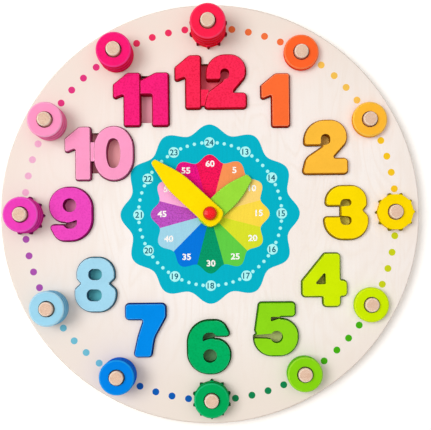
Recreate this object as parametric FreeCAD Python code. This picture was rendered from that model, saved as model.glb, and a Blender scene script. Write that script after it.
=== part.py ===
import FreeCAD, Part
import math
import os
from dataclasses import dataclass, field

# Round wooden teaching clock with lift-out numerals, counting rings on dowel pegs and two free hands.
# Millimetres, +Z up, lying on its back. The origin is the centre of the back face, and 12 o'clock is +Y.

# Board: a front panel with through-cut pockets, glued on a plain backing panel
FRONT_THICKNESS = 6.0
BACK_THICKNESS = 4.0
BOARD_EDGE_CHAMFER = 1.0

# Numerals: one piece each, standing in a pocket of their own outline
NUMERAL_CIRCLE_RADIUS = 95.5
NUMERAL_HEIGHT = 38.4
NUMERAL_STANDS_PROUD = 4.0
NUMERAL_EDGE_CHAMFER = 0.8
BRIDGE_DROP = 0.8
POCKET_GAP = 0.5
NUMERAL_TO_RING = 5.2

# How far a numeral's own middle is moved from its hour on the circle, so that the row looks even
NUMERAL_SHIFTS = {
    1: (0.2, -1.7), 2: (0.3, -0.8), 3: (2.5, 0.0), 4: (-0.6, -0.3), 5: (-0.7, -0.3), 6: (-1.0, 0.2),
    7: (0.7, -0.3), 8: (0.7, -2.2), 9: (-4.9, 0.8), 10: (3.7, -3.7), 11: (-0.2, -0.3), 12: (2.0, -1.0),
}

# Dowel pegs, glued through the front panel on to the backing
PEG_DIAMETER = 10.0
PEG_GLUE_GAP = 0.1
PEG_STANDS_PROUD = 3.3
PEG_END_CHAMFER = 0.8

# Counting rings, and the toothed ring at the foot of every third peg
RING_DIAMETER = 25.0
RING_THICKNESS = 6.0
RING_HOLE_DIAMETER = 11.5
RING_EDGE_CHAMFER = 1.0
RING_TO_BOARD_EDGE = 5.8
RINGS_ON_PEG = {1: 1, 2: 1, 3: 1, 4: 1, 5: 2, 6: 2, 7: 3, 8: 3, 9: 3, 10: 3, 11: 3, 12: 4}
HOURS_PER_TOOTHED_RING = 3
TOOTH_COUNT = 10
TOOTH_TIP_RADIUS = 14.1
TOOTH_ROOT_RADIUS = 12.6
TOOTH_WIDTH = 3.6
TOOTH_TIP_WIDTH = 0.6
TOOTH_SHOULDER = 0.3
TOOTH_OVERLAP = 1.0

# Hands, one above the other on the pivot
HAND_WIDTH = 15.6
HAND_THICKNESS = 3.0
HAND_EDGE_CHAMFER = 0.5
HAND_TAIL = 9.4
HAND_TAIL_BOW = 1.0
HAND_TAIL_RADIUS = 11.4
HAND_HEEL_HEIGHT = 3.0
HAND_HEEL_RADIUS = 4.2
HAND_TIP_RADIUS = 2.2
MINUTE_REACH = 55.3
MINUTE_TIP_WIDTH = 3.8
MINUTE_TAPER = 21.6
MINUTE_SHOULDER_RADIUS = 60.0
MINUTE_ANGLE = 313.0
HOUR_REACH = 38.9
HOUR_TIP_WIDTH = 5.4
HOUR_TAPER = 16.0
HOUR_SHOULDER_RADIUS = 55.0
HOUR_ANGLE = 47.5

# Pivot: a barrel post through the board, a screw into its foot, washers and a snap-on cap
POST_DIAMETER = 6.0
POST_HEAD_DIAMETER = 8.0
POST_HEAD_THICKNESS = 1.2
RUNNING_CLEARANCE = 0.05
HAND_END_PLAY = 0.2
WASHER_DIAMETER = 13.0
WASHER_THICKNESS = 0.8
SCREW_DIAMETER = 3.0
SCREW_DEPTH = 8.0
SCREW_HEAD_DIAMETER = 9.0
SCREW_HEAD_THICKNESS = 1.6
SCREW_HEAD_SUNK = 0.6
SCREW_SLOT_WIDTH = 1.0
SCREW_SLOT_DEPTH = 0.8
SCREW_HEAD_GAP = 0.5
CAP_DIAMETER = 9.8
CAP_ROOF = 0.9
CAP_CROWN = 1.2
CAP_SNAP_GAP = 0.05

# The board is laid out from the numerals outward: numerals, rings round them, and an edge round the rings
PEG_CIRCLE_RADIUS = NUMERAL_CIRCLE_RADIUS + NUMERAL_HEIGHT / 2 + NUMERAL_TO_RING + RING_DIAMETER / 2
BOARD_DIAMETER = 2 * (PEG_CIRCLE_RADIUS + RING_DIAMETER / 2 + RING_TO_BOARD_EDGE)

# Heights that follow from the thicknesses
BOARD_TOP = BACK_THICKNESS + FRONT_THICKNESS
HOUR_HAND_BASE = BOARD_TOP + WASHER_THICKNESS
MINUTE_HAND_BASE = HOUR_HAND_BASE + HAND_THICKNESS + WASHER_THICKNESS
POST_HEAD_BASE = MINUTE_HAND_BASE + HAND_THICKNESS + HAND_END_PLAY
POST_FOOT = SCREW_HEAD_SUNK + SCREW_HEAD_THICKNESS

# The digits are drawn at this height and scaled to NUMERAL_HEIGHT
DRAWN_HEIGHT = 38.4

HOURS = range(1, 13)
DEGREES_PER_HOUR = 30.0
UP = FreeCAD.Vector(0, 0, 1)
CENTRE = FreeCAD.Vector(0, 0, 0)
# Distances below this count as none
TOUCHING = 1e-5


def point(x, y, z=0.0):
    return FreeCAD.Vector(x, y, z)


def on_dial(radius, degrees_clockwise):
    """The point at this radius and this many degrees clockwise from 12 o'clock."""
    angle = math.radians(degrees_clockwise)
    return point(radius * math.sin(angle), radius * math.cos(angle))


def hour_point(radius, hour):
    return on_dial(radius, DEGREES_PER_HOUR * hour)


# ---- flat outlines ----

def rounded_face(corners):
    """A flat face from corners (x, y, radius): straight runs joined by arcs that touch both runs."""
    runs = []
    count = len(corners)
    for i, (x, y, radius) in enumerate(corners):
        corner = point(x, y)
        before = point(*corners[i - 1][:2])
        after = point(*corners[(i + 1) % count][:2])
        arriving = (corner - before).normalize()
        leaving = (after - corner).normalize()
        turn = arriving.getAngle(leaving)
        setback = radius * math.tan(turn / 2)
        start = corner - arriving * setback
        end = corner + leaving * setback
        middle = corner
        if radius > 0:
            inward = (leaving - arriving).normalize()
            middle = corner + inward * (radius / math.cos(turn / 2) - radius)
        runs.append((start, middle, end, radius))
    edges = []
    for i, (start, middle, end, radius) in enumerate(runs):
        if radius > 0:
            edges.append(Part.Arc(start, middle, end).toShape())
        following = runs[(i + 1) % count][0]
        if end.distanceToPoint(following) > TOUCHING:
            edges.append(Part.LineSegment(end, following).toShape())
    return Part.Face(Part.Wire(Part.sortEdges(edges)[0]))


def box_face(x_low, y_low, x_high, y_high, radius=0.0):
    corners = ((x_low, y_low), (x_high, y_low), (x_high, y_high), (x_low, y_high))
    return rounded_face([(x, y, radius) for x, y in corners])


def disc_face(radius, x=0.0, y=0.0):
    return Part.Face(Part.Wire(Part.makeCircle(radius, point(x, y))))


def joined(faces):
    """One face from overlapping faces, by joining thin slabs of them and taking the lower side."""
    if len(faces) == 1:
        return faces[0]
    slabs = [face.extrude(UP) for face in faces]
    whole = slabs[0].fuse(slabs[1:]).removeSplitter()
    lower_sides = [face for face in whole.Faces if lies_at(face, 0.0)]
    return lower_sides[0]


def moved(face, x=0.0, y=0.0):
    copy = face.copy()
    copy.translate(point(x, y))
    return copy


def narrowed(corners, share):
    """The same corners and their radii, narrower by this share along X."""
    return [(x * share, y, radius * share) for x, y, radius in corners]


# ---- digits: the outer corners (x, y, radius), clockwise, and what is cut out of them ----

# Digit 1: a stem, and on its left a slanting flag (reach, foot height, top height)
ONE_STEM = 13.0
NARROW_ONE_STEM = 11.2
ELEVEN_ONE_STEM = 12.1
ONE_FLAG = (7.6, 0.2, 10.7)
HIGH_ONE_FLAG = (8.6, 3.4, 13.4)
ONE_FLAG_ROOT = 3.4
ONE_FLAG_ROOT_RADIUS = 0.8
ONE_FLAG_TIP_RADIUS = 1.2
ONE_SHOULDER = 2.8
ONE_SHOULDER_RADIUS = 4.0
ONE_CORNER_RADIUS = 2.0
ONE_HEEL_RADIUS = 1.8

# Where the digits of 1, 10, 11 and 12 stand: the right edge of each digit 1, and the middle of the other
ONE_EDGE = 9.8
TEN_ONE_EDGE = -5.9
TEN_ZERO_X = 10.4
TEN_COUNTER_X = 10.2
ELEVEN_EDGES = (-1.1, 19.2)
TWELVE_ONE_EDGE = -7.6
TWELVE_TWO_X = 10.0
TWELVE_COUNTER_X = 9.4
NARROW_TWO_SHARE = 0.93

# Boxes (low x, low y, high x, high y): the necks that join two digits, and the fills of their pockets
TEN_NECK = (-7.0, -5.6, -2.0, 8.0)
TEN_POCKET_FILL = (-7.0, -13.5, 0.0, 14.5)
ELEVEN_POCKET_FILLS = [(-3.0, -16.0, 8.0, 5.0), (-3.0, 10.0, 5.0, 16.9)]
TWELVE_NECK = (-8.6, -17.0, -2.2, -5.5)
TWELVE_POCKET_FILL = (-9.0, -17.0, -3.0, 13.0)

TWO_OUTER = [
    (-15.3, 1.3, 2.2), (-15.3, 19.6, 15.0), (15.6, 19.6, 12.2), (15.6, 3.6, 9.0), (5.2, -7.8, 0.8),
    (16.1, -7.8, 3.0), (16.1, -19.3, 3.0), (-17.0, -19.3, 2.6), (-14.0, -7.5, 9.0), (-0.9, 1.3, 0.5),
]
TWO_COUNTER = [
    (-5.4, 0.6, 0.0), (-3.3, 2.9, 1.5), (-3.3, 9.3, 3.2), (3.5, 9.3, 3.3), (3.5, 2.6, 3.0), (0.2, 1.5, 0.0),
]
THREE_OUTER = [
    (-15.3, 4.8, 2.6), (-15.3, 19.5, 12.0), (14.4, 19.5, 11.5), (14.4, 5.0, 3.5), (11.5, 1.5, 0.8),
    (15.5, -2.5, 5.5), (15.5, -19.4, 13.5), (-16.4, -19.4, 14.0), (-16.4, -2.8, 2.4), (-4.7, -2.8, 0.8),
    (-4.7, 4.8, 0.8),
]
THREE_COUNTERS = [
    [(-5.5, 4.2, 0.2), (-3.9, 9.6, 2.8), (3.1, 9.6, 2.4), (3.1, 4.9, 2.2)],
    [(-5.5, -2.2, 0.2), (3.1, -3.0, 2.4), (3.1, -8.9, 2.9), (-4.3, -8.9, 3.0)],
]
FOUR_OUTER = [
    (-0.6, 19.2, 2.0), (10.8, 19.2, 2.8), (10.8, -0.2, 1.0), (15.7, -0.2, 3.2), (15.7, -11.9, 3.0),
    (10.8, -11.9, 0.9), (10.8, -19.3, 3.0), (-1.9, -19.3, 3.0), (-1.9, -12.1, 0.9), (-16.9, -12.1, 2.8),
    (-16.9, -0.6, 2.0),
]
FOUR_COUNTER = [(0.1, -3.0, 0.9), (-7.8, -3.0, 0.9), (0.1, 6.2, 0.9)]
FIVE_OUTER = [
    (-12.9, 19.4, 2.4), (13.4, 19.4, 2.8), (13.4, 8.9, 2.8), (2.6, 8.9, 0.4), (2.6, 7.5, 0.4),
    (15.4, 7.5, 12.2), (15.4, -19.3, 13.6), (-16.8, -19.3, 13.4), (-16.8, -4.4, 1.0),
    (-14.8, -3.4, 0.5), (-15.9, -0.8, 1.0),
]
FIVE_NOTCH = [(-4.4, 8.9, 0.9), (4.0, 8.9, 0.0), (4.0, 7.5, 0.0), (1.5, 7.5, 2.0), (-4.4, 5.5, 0.8)]
FIVE_SLOT = [
    (-18.5, -4.6, 0.0), (-14.0, -3.8, 0.5), (0.0, -2.8, 0.0), (0.0, -8.0, 0.0), (-7.6, -6.6, 2.0),
    (-15.4, -6.4, 0.9), (-18.5, -8.0, 0.0),
]
FIVE_EYE = (-0.2, -5.5, 4.4)
SIX_OUTER = [
    (15.6, 7.4, 2.4), (3.0, 7.4, 0.4), (3.0, 6.0, 0.4), (14.9, 6.0, 11.4), (14.9, -19.5, 13.6),
    (-16.3, -19.5, 15.5), (-16.3, 19.4, 16.0), (9.2, 19.4, 9.0),
]
SIX_NOTCH = [
    (-5.2, 4.1, 0.5), (-5.2, 10.4, 4.4), (2.2, 10.4, 3.0), (5.4, 7.3, 0.0), (4.2, 6.1, 0.0), (0.0, 5.9, 3.0),
]
SIX_EYE = (0.0, -6.3, 4.9)
SEVEN_OUTER = [
    (-14.5, 19.3, 3.0), (14.7, 19.3, 3.2), (14.7, 9.6, 5.0), (6.3, -5.5, 20.0), (4.1, -19.2, 2.6),
    (-8.9, -19.2, 2.6), (-5.6, -4.5, 20.0), (-1.5, 7.6, 1.2), (-14.5, 7.6, 3.0),
]
EIGHT_OUTER = [
    (-14.1, 19.7, 12.0), (13.3, 19.7, 12.0), (13.3, 4.4, 3.2), (9.4, 0.8, 0.8), (14.4, -3.6, 5.5),
    (14.4, -19.6, 12.8), (-15.5, -19.6, 13.0), (-15.5, -3.2, 3.0), (-11.1, 1.0, 0.8), (-14.1, 4.6, 2.8),
]
EIGHT_COUNTERS = [(-5.4, 3.4, 4.2, 11.3, 3.5), (-6.7, -11.7, 4.0, -3.3, 3.7)]
ZERO_OUTER = [
    (-14.3, 9.5, 18.0), (-6.5, 19.6, 13.0), (6.5, 19.6, 13.0), (14.3, 9.5, 18.0),
    (14.3, -9.5, 18.0), (6.5, -19.6, 13.0), (-6.5, -19.6, 13.0), (-14.3, -9.5, 18.0),
]
ZERO_COUNTER = [
    (-5.0, 4.5, 18.0), (-2.6, 10.6, 3.7), (2.6, 10.6, 3.7), (5.0, 4.5, 18.0),
    (5.0, -4.5, 18.0), (2.6, -10.6, 3.7), (-2.6, -10.6, 3.7), (-5.0, -4.5, 18.0),
]


@dataclass
class Numeral:
    """The flat outlines of one numeral."""
    digits: list
    openings: list = field(default_factory=list)
    # Lower necks that join two digits, and gaps between digits that the pocket is cut straight across
    bridges: list = field(default_factory=list)
    pocket_fills: list = field(default_factory=list)


def upside_down(face):
    copy = face.copy()
    copy.rotate(CENTRE, UP, 180.0)
    return copy


def one(stem, right_edge, flag=ONE_FLAG):
    """Digit 1, placed by the right edge of its stem."""
    reach, foot, top = flag
    left = right_edge - stem
    tip = left - reach
    half = DRAWN_HEIGHT / 2
    corners = [
        (left, -half, ONE_HEEL_RADIUS), (left, ONE_FLAG_ROOT, ONE_FLAG_ROOT_RADIUS),
        (tip, foot, ONE_HEEL_RADIUS), (tip, top, ONE_FLAG_TIP_RADIUS),
        (left + ONE_SHOULDER, half, ONE_SHOULDER_RADIUS),
        (right_edge, half, ONE_CORNER_RADIUS), (right_edge, -half, ONE_CORNER_RADIUS),
    ]
    return rounded_face(corners)


def ten():
    return Numeral(
        digits=[one(NARROW_ONE_STEM, TEN_ONE_EDGE), moved(rounded_face(ZERO_OUTER), TEN_ZERO_X)],
        openings=[moved(rounded_face(ZERO_COUNTER), TEN_COUNTER_X)],
        bridges=[box_face(*TEN_NECK)],
        pocket_fills=[box_face(*TEN_POCKET_FILL)],
    )


def eleven():
    first_edge, second_edge = ELEVEN_EDGES
    first = one(ELEVEN_ONE_STEM, first_edge)
    second = one(ELEVEN_ONE_STEM, second_edge, HIGH_ONE_FLAG)
    return Numeral(digits=[first, second], pocket_fills=[box_face(*fill) for fill in ELEVEN_POCKET_FILLS])


def twelve():
    two = rounded_face(narrowed(TWO_OUTER, NARROW_TWO_SHARE))
    counter = rounded_face(narrowed(TWO_COUNTER, NARROW_TWO_SHARE))
    return Numeral(
        digits=[one(NARROW_ONE_STEM, TWELVE_ONE_EDGE), moved(two, TWELVE_TWO_X)],
        openings=[moved(counter, TWELVE_COUNTER_X)],
        bridges=[box_face(*TWELVE_NECK)],
        pocket_fills=[box_face(*TWELVE_POCKET_FILL)],
    )


def numeral_shapes():
    six = Numeral([rounded_face(SIX_OUTER)], [rounded_face(SIX_NOTCH), disc_face(SIX_EYE[2], *SIX_EYE[:2])])
    nine = Numeral([upside_down(face) for face in six.digits], [upside_down(face) for face in six.openings])
    five_openings = [rounded_face(FIVE_NOTCH), rounded_face(FIVE_SLOT), disc_face(FIVE_EYE[2], *FIVE_EYE[:2])]
    return {
        1: Numeral([one(ONE_STEM, ONE_EDGE)]),
        2: Numeral([rounded_face(TWO_OUTER)], [rounded_face(TWO_COUNTER)]),
        3: Numeral([rounded_face(THREE_OUTER)], [rounded_face(corners) for corners in THREE_COUNTERS]),
        4: Numeral([rounded_face(FOUR_OUTER)], [rounded_face(FOUR_COUNTER)]),
        5: Numeral([rounded_face(FIVE_OUTER)], five_openings),
        6: six,
        7: Numeral([rounded_face(SEVEN_OUTER)]),
        8: Numeral([rounded_face(EIGHT_OUTER)], [box_face(*counter) for counter in EIGHT_COUNTERS]),
        9: nine,
        10: ten(),
        11: eleven(),
        12: twelve(),
    }


# ---- solids ----

def raised(face, base, height):
    solid = face.extrude(point(0, 0, height))
    solid.translate(point(0, 0, base))
    return solid


def plate(diameter, base, thickness, hole_diameter=0.0):
    disc = Part.makeCylinder(diameter / 2, thickness, point(0, 0, base))
    if hole_diameter > 0:
        disc = disc.cut(Part.makeCylinder(hole_diameter / 2, thickness, point(0, 0, base)))
    return disc


def lies_at(face, height):
    return abs(face.BoundBox.ZMin - height) < TOUCHING and abs(face.BoundBox.ZMax - height) < TOUCHING


def outer_edge_chamfered(solid, height, chamfer):
    """The solid with a chamfer along the outer outline of its flat face at this height."""
    flat = [face for face in solid.Faces if lies_at(face, height)]
    return solid.makeChamfer(chamfer, flat[0].OuterWire.Edges)


def numeral_place(hour):
    shift_x, shift_y = NUMERAL_SHIFTS[hour]
    return hour_point(NUMERAL_CIRCLE_RADIUS, hour) + point(shift_x, shift_y)


def scaled_to_height(face):
    return face.scaled(NUMERAL_HEIGHT / DRAWN_HEIGHT, CENTRE)


def numeral(hour, shape):
    """A numeral standing on the backing, each digit's upper edge eased, with its openings cut through."""
    height = FRONT_THICKNESS + NUMERAL_STANDS_PROUD
    top = BACK_THICKNESS + height
    digits = [raised(scaled_to_height(face), BACK_THICKNESS, height) for face in shape.digits]
    solids = [outer_edge_chamfered(digit, top, NUMERAL_EDGE_CHAMFER) for digit in digits]
    solids += [raised(scaled_to_height(face), BACK_THICKNESS, height - BRIDGE_DROP) for face in shape.bridges]
    solid = solids[0]
    if len(solids) > 1:
        solid = solid.fuse(solids[1:]).removeSplitter()
    if shape.openings:
        solid = solid.cut([raised(scaled_to_height(face), BACK_THICKNESS, height) for face in shape.openings])
    whole = solid.Solids[0]
    whole.translate(numeral_place(hour))
    return whole


def pocket(hour, shape):
    """The through-cut in the front panel: the numeral's outline, wider by the gap all round."""
    outline = joined([*shape.digits, *shape.bridges, *shape.pocket_fills])
    wider = scaled_to_height(Part.Face(outline.OuterWire)).makeOffset2D(POCKET_GAP)
    solid = raised(Part.Face(wider.OuterWire), BACK_THICKNESS, FRONT_THICKNESS)
    solid.translate(numeral_place(hour))
    return solid


def board_front(shapes):
    panel = plate(BOARD_DIAMETER, BACK_THICKNESS, FRONT_THICKNESS)
    panel = outer_edge_chamfered(panel, BOARD_TOP, BOARD_EDGE_CHAMFER)
    holes = [pocket(hour, shapes[hour]) for hour in HOURS]
    for hour in HOURS:
        foot = hour_point(PEG_CIRCLE_RADIUS, hour) + point(0, 0, BACK_THICKNESS)
        holes.append(Part.makeCylinder(PEG_DIAMETER / 2 + PEG_GLUE_GAP, FRONT_THICKNESS, foot))
    holes.append(plate(POST_DIAMETER + 2 * RUNNING_CLEARANCE, BACK_THICKNESS, FRONT_THICKNESS))
    return panel.cut(holes)


def board_back():
    panel = plate(BOARD_DIAMETER, 0.0, BACK_THICKNESS, POST_DIAMETER + 2 * RUNNING_CLEARANCE)
    panel = outer_edge_chamfered(panel, 0.0, BOARD_EDGE_CHAMFER)
    return panel.cut(plate(SCREW_HEAD_DIAMETER + 2 * SCREW_HEAD_GAP, 0.0, POST_FOOT))


def peg(hour):
    length = FRONT_THICKNESS + RINGS_ON_PEG[hour] * RING_THICKNESS + PEG_STANDS_PROUD
    dowel = plate(PEG_DIAMETER, BACK_THICKNESS, length)
    dowel = outer_edge_chamfered(dowel, BACK_THICKNESS + length, PEG_END_CHAMFER)
    dowel.translate(hour_point(PEG_CIRCLE_RADIUS, hour))
    return dowel


def ring_place(hour, level):
    return hour_point(PEG_CIRCLE_RADIUS, hour) + point(0, 0, BOARD_TOP + level * RING_THICKNESS)


def counting_ring(hour, level):
    ring = plate(RING_DIAMETER, 0.0, RING_THICKNESS, RING_HOLE_DIAMETER)
    for height in (0.0, RING_THICKNESS):
        ring = outer_edge_chamfered(ring, height, RING_EDGE_CHAMFER)
    ring.translate(ring_place(hour, level))
    return ring


def tooth_face(degrees_clockwise):
    """One pointed tooth, from inside the root circle to the tip circle."""
    foot = TOOTH_ROOT_RADIUS - TOOTH_OVERLAP
    shoulder = TOOTH_ROOT_RADIUS - TOOTH_SHOULDER
    left_half = [
        (-TOOTH_WIDTH / 2, foot, 0.0),
        (-TOOTH_WIDTH / 2, shoulder, 0.0),
        (-TOOTH_TIP_WIDTH / 2, TOOTH_TIP_RADIUS, 0.0),
    ]
    right_half = [(-x, y, radius) for x, y, radius in reversed(left_half)]
    face = rounded_face([*left_half, *right_half])
    face.rotate(CENTRE, UP, -degrees_clockwise)
    return face


def toothed_ring(hour):
    """The foot ring of a peg, with one tooth pointing at the middle of the dial."""
    pitch = 360.0 / TOOTH_COUNT
    facing_middle = DEGREES_PER_HOUR * hour + 180.0
    teeth = [tooth_face(facing_middle + i * pitch) for i in range(TOOTH_COUNT)]
    star = joined([disc_face(TOOTH_ROOT_RADIUS), *teeth])
    ring = raised(star, 0.0, RING_THICKNESS)
    ring = ring.cut(plate(RING_HOLE_DIAMETER, 0.0, RING_THICKNESS))
    ring.translate(ring_place(hour, 0))
    return ring


def hand_face(reach, tip_width, taper, shoulder_radius):
    """The leaf outline of a hand along +Y: straight sides, bowed in to a blunt point, and a bowed tail."""
    side = HAND_WIDTH / 2
    right_half = [
        (tip_width / 2, reach, HAND_TIP_RADIUS), (side, reach - taper, shoulder_radius),
        (side, HAND_HEEL_HEIGHT - HAND_TAIL, HAND_HEEL_RADIUS),
    ]
    left_half = [(-x, y, radius) for x, y, radius in reversed(right_half)]
    tail = (0.0, -HAND_TAIL - HAND_TAIL_BOW, HAND_TAIL_RADIUS)
    return rounded_face([*right_half, tail, *left_half])


def hand(face, base, degrees_clockwise):
    """A flat hand with its upper edge eased and a hole for the pivot, turned to its angle."""
    solid = raised(face, base, HAND_THICKNESS)
    solid = outer_edge_chamfered(solid, base + HAND_THICKNESS, HAND_EDGE_CHAMFER)
    solid = solid.cut(plate(POST_DIAMETER + 2 * RUNNING_CLEARANCE, base, HAND_THICKNESS))
    solid.rotate(CENTRE, UP, -degrees_clockwise)
    return solid


def washer(base):
    return plate(WASHER_DIAMETER, base, WASHER_THICKNESS, POST_DIAMETER + 2 * RUNNING_CLEARANCE)


def pivot_post():
    shank = plate(POST_DIAMETER, POST_FOOT, POST_HEAD_BASE - POST_FOOT)
    head = plate(POST_HEAD_DIAMETER, POST_HEAD_BASE, POST_HEAD_THICKNESS)
    bore = plate(SCREW_DIAMETER + 2 * RUNNING_CLEARANCE, POST_FOOT, SCREW_DEPTH + SCREW_HEAD_GAP)
    return shank.fuse(head).removeSplitter().cut(bore)


def pivot_screw():
    head = plate(SCREW_HEAD_DIAMETER, SCREW_HEAD_SUNK, SCREW_HEAD_THICKNESS)
    shank = plate(SCREW_DIAMETER, SCREW_HEAD_SUNK, SCREW_HEAD_THICKNESS + SCREW_DEPTH)
    slot_corner = point(-SCREW_HEAD_DIAMETER / 2, -SCREW_SLOT_WIDTH / 2, SCREW_HEAD_SUNK)
    slot = Part.makeBox(SCREW_HEAD_DIAMETER, SCREW_SLOT_WIDTH, SCREW_SLOT_DEPTH, slot_corner)
    return head.fuse(shank).removeSplitter().cut(slot)


def pivot_cap():
    """A domed cap, turned from its half section, whose hollow snaps over the head of the post."""
    outer = CAP_DIAMETER / 2
    inner = POST_HEAD_DIAMETER / 2 + CAP_SNAP_GAP
    seat = POST_HEAD_BASE + POST_HEAD_THICKNESS
    shoulder = seat + CAP_ROOF
    rim = point(outer, 0, shoulder)
    crown = point(0, 0, shoulder + CAP_CROWN)
    ball_radius = (outer ** 2 + CAP_CROWN ** 2) / (2 * CAP_CROWN)
    half_angle = math.asin(outer / ball_radius) / 2
    ball_centre = shoulder + CAP_CROWN - ball_radius
    between = point(ball_radius * math.sin(half_angle), 0, ball_centre + ball_radius * math.cos(half_angle))
    stops = [crown, point(0, 0, seat), point(inner, 0, seat), point(inner, 0, POST_HEAD_BASE),
             point(outer, 0, POST_HEAD_BASE), rim]
    edges = [Part.LineSegment(a, b).toShape() for a, b in zip(stops, stops[1:])]
    edges.append(Part.Arc(rim, between, crown).toShape())
    section = Part.Face(Part.Wire(edges))
    return section.revolve(CENTRE, UP, 360.0)


# ---- the whole clock ----

def build():
    shapes = numeral_shapes()
    hour_face = hand_face(HOUR_REACH, HOUR_TIP_WIDTH, HOUR_TAPER, HOUR_SHOULDER_RADIUS)
    minute_face = hand_face(MINUTE_REACH, MINUTE_TIP_WIDTH, MINUTE_TAPER, MINUTE_SHOULDER_RADIUS)
    pieces = {
        "board_front": board_front(shapes),
        "board_back": board_back(),
        "board_washer": washer(BOARD_TOP),
        "hour_hand": hand(hour_face, HOUR_HAND_BASE, HOUR_ANGLE),
        "hand_washer": washer(HOUR_HAND_BASE + HAND_THICKNESS),
        "minute_hand": hand(minute_face, MINUTE_HAND_BASE, MINUTE_ANGLE),
        "pivot_post": pivot_post(),
        "pivot_screw": pivot_screw(),
        "pivot_cap": pivot_cap(),
    }
    for hour in HOURS:
        pieces[f"numeral_{hour:02d}"] = numeral(hour, shapes[hour])
        pieces[f"peg_{hour:02d}"] = peg(hour)
        first_round_level = 0
        if hour % HOURS_PER_TOOTHED_RING == 0:
            pieces[f"toothed_ring_{hour:02d}"] = toothed_ring(hour)
            first_round_level = 1
        for level in range(first_round_level, RINGS_ON_PEG[hour]):
            pieces[f"counting_ring_{hour:02d}_{level + 1}"] = counting_ring(hour, level)
    return pieces


def main():
    os.makedirs("parts", exist_ok=True)
    pieces = build()
    for name, shape in pieces.items():
        shape.exportStep(f"parts/{name}.step")
    print(len(pieces), "pieces")


main()
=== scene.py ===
import math

import bmesh
import bpy
from mathutils import Matrix, Vector


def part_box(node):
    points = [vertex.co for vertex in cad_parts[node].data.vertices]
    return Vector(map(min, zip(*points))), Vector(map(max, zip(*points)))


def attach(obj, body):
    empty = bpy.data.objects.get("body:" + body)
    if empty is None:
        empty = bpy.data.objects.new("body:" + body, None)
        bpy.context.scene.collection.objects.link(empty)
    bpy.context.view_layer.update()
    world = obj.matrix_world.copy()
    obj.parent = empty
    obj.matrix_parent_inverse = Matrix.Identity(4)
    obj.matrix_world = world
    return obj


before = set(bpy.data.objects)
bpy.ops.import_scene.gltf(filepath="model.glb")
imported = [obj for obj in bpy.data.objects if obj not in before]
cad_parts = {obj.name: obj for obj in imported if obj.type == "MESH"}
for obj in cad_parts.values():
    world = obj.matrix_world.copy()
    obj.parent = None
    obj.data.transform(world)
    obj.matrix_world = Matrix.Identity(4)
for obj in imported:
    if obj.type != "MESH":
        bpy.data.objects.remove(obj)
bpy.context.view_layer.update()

# Painted wooden teaching clock. Sizes are in millimetres and become metres where they are used.
MM = 0.001
# A noise whose Scale is this divided by a size in mm has features of about that size
PER_MM = 1 / MM

HOURS = range(1, 13)
DEGREES_PER_HOUR = 30.0
BOARD_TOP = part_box("board_front")[1].z / MM
BOARD_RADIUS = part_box("board_front")[1].x / MM
WASHER_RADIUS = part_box("board_washer")[1].x / MM
ROUND_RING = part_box("counting_ring_12_2")
TOOTHED_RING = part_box("toothed_ring_12")
# Where the teeth of a toothed ring begin, and over what width the painted shade on their tips fades in, as
# shares of the radius of their tips
TOOTH_START = (ROUND_RING[1].x - ROUND_RING[0].x) / (TOOTHED_RING[1].x - TOOTHED_RING[0].x)
TOOTH_BLEND = 0.04

# ---- the printed dial ----

# A wavy rosette with a 12-petal flower on it, both with a lobe at each hour. They stop just outside the
# washer.
ROSETTE_RADIUS = 61.2
ROSETTE_WAVE = 3.3
FLOWER_RADIUS = 40.2
FLOWER_WAVE = 2.6
PRINT_START = WASHER_RADIUS + 0.2
STEPS_PER_HOUR = 24

# The circle of the 24-hour numbers, the discs they stand in, and the small dots between the discs
AFTERNOON_RADIUS = 51.5
AFTERNOON_DISC = 3.8
SMALL_DOT_RADIUS = 1.2
SMALL_DOT_ANGLES = (6.2, 11.9, 17.8, 23.9)

# How each set of numbers is printed: the radii of its circle across and along the dial, how far (x, y) it
# is shifted, the digits' height, the share of the type size by which their stroke is thickened, and how
# much wider than the plain typeface they are. The minute numbers' circle is a little taller than wide.
AFTERNOON_NUMBERS = {
    "radii": (AFTERNOON_RADIUS, AFTERNOON_RADIUS), "shift": (0.0, 0.0),
    "height": 4.4, "stroke": 0.019, "stretch": 1.0,
}
MINUTE_NUMBERS = {
    "radii": (34.95, 35.85), "shift": (0.3, 0.45),
    "height": 4.6, "stroke": 0.032, "stretch": 1.1,
}

# The coloured minute dots outside the numerals, four in each hour's gap
MINUTE_DOT_CIRCLE = 133.7
MINUTE_DOT_RADIUS = 2.5
MINUTE_DOT_ANGLES = (7.25, 12.42, 17.58, 22.75)

DOT_CORNERS = 40
# Ink lies in films, each on the one below: rosette and minute dots, petals and discs, then digits
INK_FILM = 0.02
GROUND_LAYER, SHAPE_LAYER, DIGIT_LAYER = 1, 2, 3

# ---- the plywood ----

PLY_THICKNESS = 1.0
# Upright faces nearer the rim than this are the rim, and the others are pocket walls
RIM_BAND = 3.0
# The veneer is painted lighter round a point this far right of the dial's centre and darker toward the rim,
# as painted light falling off. The pale part is wider than tall, so distances across count for less, and it
# fades out between these two distances.
PAINTED_LIGHT_SPOT = 40.0
PALE_ACROSS = 0.7
PALE_FADE_START, PALE_FADE_END = 74.0, 134.0

# ---- the eased edges ----

# How far sanding and paint round each piece's edges, and the least angle in degrees that counts as an edge
EDGE_EASE = 0.25
EDGE_ANGLE = 28.0
EASE_STEPS = 3
# Corners nearer each other than this are one, and faces this many degrees apart or less are one flat
WELD_GAP = 0.001
FLAT_ANGLE = 0.5

# ---- colours, as sRGB hex ----

PAINT_COLOURS = {
    1: "FF7036", 2: "FFC23E", 3: "FFE100", 4: "D1F002", 5: "8FDC19", 6: "00B365",
    7: "008EF0", 8: "A5DCF5", 9: "EF4BC4", 10: "FD9FCC", 11: "FA2380", 12: "FE2C59",
}
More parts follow.
